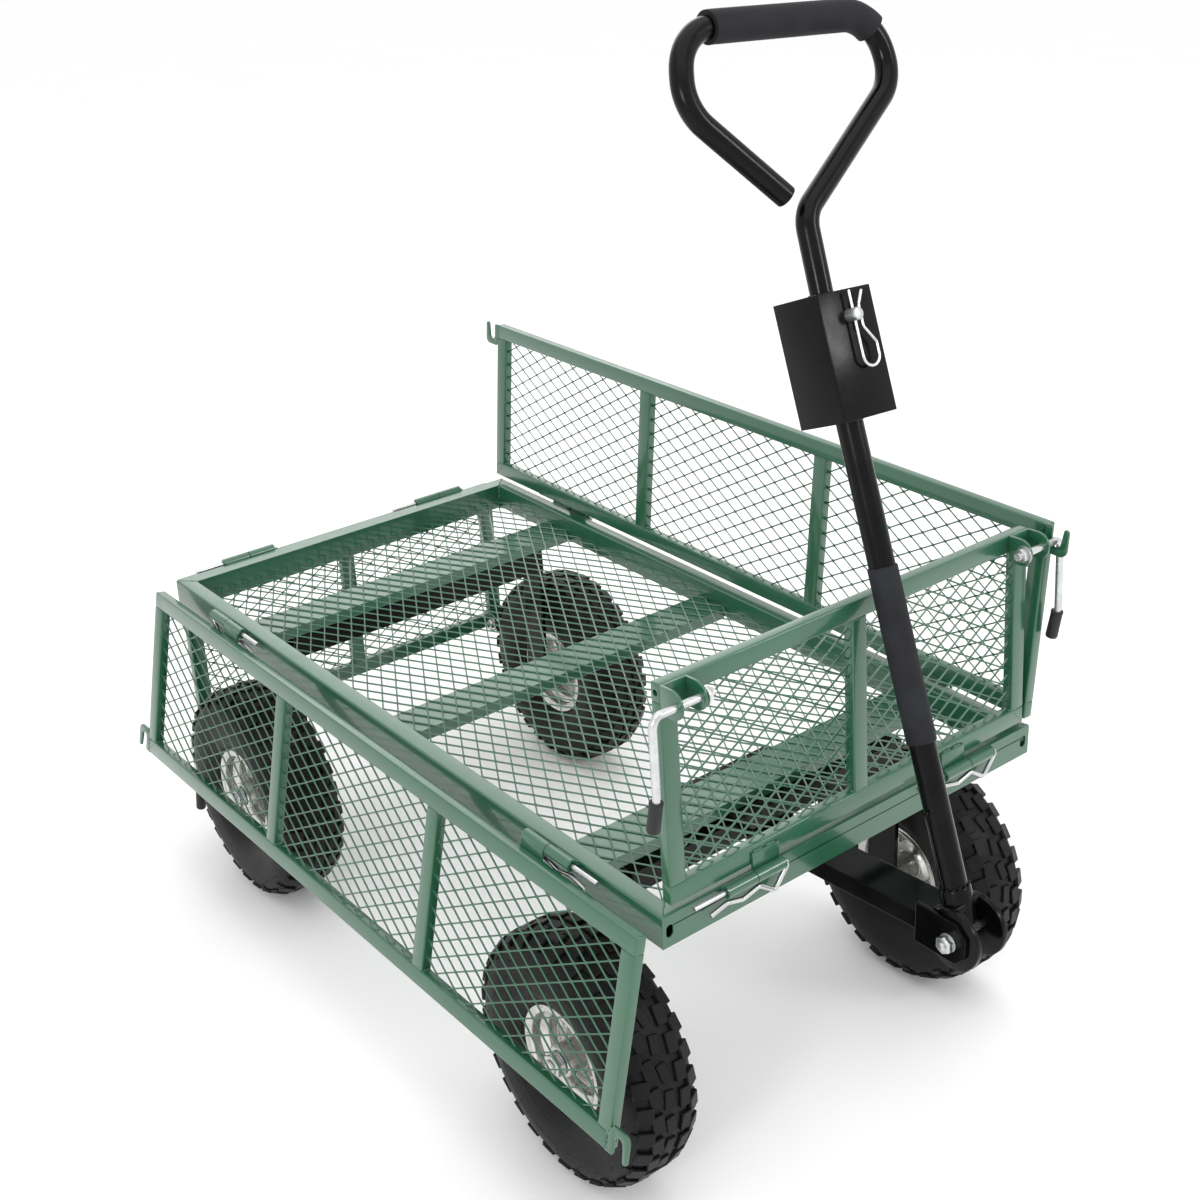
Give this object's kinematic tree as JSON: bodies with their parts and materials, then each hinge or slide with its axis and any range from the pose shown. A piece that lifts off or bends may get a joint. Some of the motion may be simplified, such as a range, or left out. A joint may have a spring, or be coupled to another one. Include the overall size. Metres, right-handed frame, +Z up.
{
  "type": "garden cart",
  "caption": "Four-wheeled steel mesh garden cart with fold-down, lift-off side panels, latch levers, steered front axle and a pull handle with a hitch box.",
  "frame": {"origin": "on the floor, under the middle of the whole cart's bounding box", "axes": "+X forward to the pull handle, +Y to the cart's left, +Z up"},
  "size_m": [1.145, 0.6126, 1.114],
  "materials": {
    "green_paint": "satin powder coat",
    "black_paint": "gloss powder coat",
    "zinc": "bright zinc plate",
    "rim_zinc": "satin zinc plate",
    "tyre": "matte moulded rubber",
    "foam": "matte closed-cell foam",
    "grip_rubber": "satin rubber"
  },
  "bodies": {
    "bed": {"bed_front_rail": "green_paint", "bed_rear_rail": "green_paint", "bed_side_rails": "green_paint", "bed_cross_members": "green_paint", "bed_floor_mesh": "green_paint", "bed_hinge_barrels": "green_paint", "steering_bolster": "black_paint", "rear_axle_beam": "black_paint", "rear_axle": "zinc"},
    "steering": {"front_axle_beam": "black_paint", "front_axle": "zinc", "kingpin": "zinc", "tongue": "black_paint", "clevis_plates": "black_paint", "clevis_bolt": "zinc"},
    "handle": {"handle_yoke": "black_paint", "handle_tube": "black_paint", "handle_sleeve": "foam", "hitch_box": "black_paint", "handle_loop": "black_paint", "handle_grip": "foam", "hitch_pin": "zinc"},
    "clip": {"r_clip": "zinc"},
    "front_left_wheel": {"front_left_tyre": "tyre", "front_left_rim": "rim_zinc", "front_left_hub": "zinc"},
    "front_left_latch": {"front_left_latch_rod": "zinc", "front_left_latch_grip": "grip_rubber"},
    "front_right_wheel": {"front_right_tyre": "tyre", "front_right_rim": "rim_zinc", "front_right_hub": "zinc"},
    "front_right_latch": {"front_right_latch_rod": "zinc", "front_right_latch_grip": "grip_rubber"},
    "rear_left_wheel": {"rear_left_tyre": "tyre", "rear_left_rim": "rim_zinc", "rear_left_hub": "zinc"},
    "rear_left_latch": {"rear_left_latch_rod": "zinc", "rear_left_latch_grip": "grip_rubber"},
    "rear_right_wheel": {"rear_right_tyre": "tyre", "rear_right_rim": "rim_zinc", "rear_right_hub": "zinc"},
    "rear_right_latch": {"rear_right_latch_rod": "zinc", "rear_right_latch_grip": "grip_rubber"},
    "left_panel": {"left_panel_frame": "green_paint", "left_panel_mesh": "green_paint", "left_panel_fittings": "green_paint"},
    "left_pins": {"left_hinge_pins": "zinc"},
    "right_panel": {"right_panel_frame": "green_paint", "right_panel_mesh": "green_paint", "right_panel_fittings": "green_paint"},
    "right_pins": {"right_hinge_pins": "zinc"},
    "front_panel": {"front_panel_frame": "green_paint", "front_panel_mesh": "green_paint", "front_panel_fittings": "green_paint"},
    "front_pins": {"front_hinge_pins": "zinc"},
    "rear_panel": {"rear_panel_frame": "green_paint", "rear_panel_mesh": "green_paint", "rear_panel_fittings": "green_paint"},
    "rear_pins": {"rear_hinge_pins": "zinc"}
  },
  "joints": [
    {"name": "steering_turn", "type": "hinge", "parent": "bed", "child": "steering", "pos_m": [0.2665, 0.01833, 0.312], "axis": [0, 0, 1], "range_deg": [-17, 17]},
    {"name": "front_left_wheel_turn", "type": "hinge", "parent": "steering", "child": "front_left_wheel", "pos_m": [0.2665, 0.26033, 0.136], "axis": [0, 1, 0], "continuous": true},
    {"name": "front_right_wheel_turn", "type": "hinge", "parent": "steering", "child": "front_right_wheel", "pos_m": [0.2665, -0.22367, 0.136], "axis": [0, 1, 0], "continuous": true},
    {"name": "rear_left_wheel_turn", "type": "hinge", "parent": "bed", "child": "rear_left_wheel", "pos_m": [-0.3875, 0.26033, 0.136], "axis": [0, 1, 0], "continuous": true},
    {"name": "rear_right_wheel_turn", "type": "hinge", "parent": "bed", "child": "rear_right_wheel", "pos_m": [-0.3875, -0.22367, 0.136], "axis": [0, 1, 0], "continuous": true},
    {"name": "handle_swing", "type": "hinge", "parent": "steering", "child": "handle", "pos_m": [0.5415, 0.01833, 0.3095], "axis": [0, 1, 0], "range_deg": [0, 128]},
    {"name": "clip_pull", "type": "slide", "parent": "handle", "child": "clip", "axis": [0.3727, -0.0419, -0.927], "range_m": [0, 0.04]},
    {"name": "left_panel_swing", "type": "hinge", "parent": "bed", "child": "left_panel", "pos_m": [-0.0705, 0.28083, 0.371], "axis": [1, 0, 0], "range_deg": [-0.3, 0.3]},
    {"name": "right_panel_swing", "type": "hinge", "parent": "bed", "child": "right_panel", "pos_m": [-0.0705, -0.24417, 0.371], "axis": [-1, 0, 0], "range_deg": [0, 158]},
    {"name": "front_panel_swing", "type": "hinge", "parent": "bed", "child": "front_panel", "pos_m": [0.4125, 0.01833, 0.371], "axis": [0, -1, 0], "range_deg": [-0.3, 0.3]},
    {"name": "rear_panel_swing", "type": "hinge", "parent": "bed", "child": "rear_panel", "pos_m": [-0.5535, 0.01833, 0.371], "axis": [0, 1, 0], "range_deg": [0, 174]},
    {"name": "front_left_latch_lift", "type": "hinge", "parent": "front_panel", "child": "front_left_latch", "pos_m": [0.41678, 0.27633, 0.58542], "axis": [0, -1, 0], "range_deg": [0, 170]},
    {"name": "front_right_latch_lift", "type": "hinge", "parent": "front_panel", "child": "front_right_latch", "pos_m": [0.41678, -0.23967, 0.58542], "axis": [0, -1, 0], "range_deg": [0, 170]},
    {"name": "rear_left_latch_lift", "type": "hinge", "parent": "rear_panel", "child": "rear_left_latch", "pos_m": [-0.53204, 0.27633, 0.15762], "axis": [0, 1, 0], "range_deg": [-5, 165]},
    {"name": "rear_right_latch_lift", "type": "hinge", "parent": "rear_panel", "child": "rear_right_latch", "pos_m": [-0.53204, -0.23967, 0.15762], "axis": [0, 1, 0], "range_deg": [-5, 165]},
    {"name": "left_pins_pull", "type": "slide", "parent": "bed", "child": "left_pins", "axis": [1, 0, 0], "range_m": [0, 0.09]},
    {"name": "right_pins_pull", "type": "slide", "parent": "bed", "child": "right_pins", "axis": [-1, 0, 0], "range_m": [0, 0.09]},
    {"name": "front_pins_pull", "type": "slide", "parent": "bed", "child": "front_pins", "axis": [0, 1, 0], "range_m": [0, 0.09]},
    {"name": "rear_pins_pull", "type": "slide", "parent": "bed", "child": "rear_pins", "axis": [0, 1, 0], "range_m": [0, 0.09]}
  ]
}
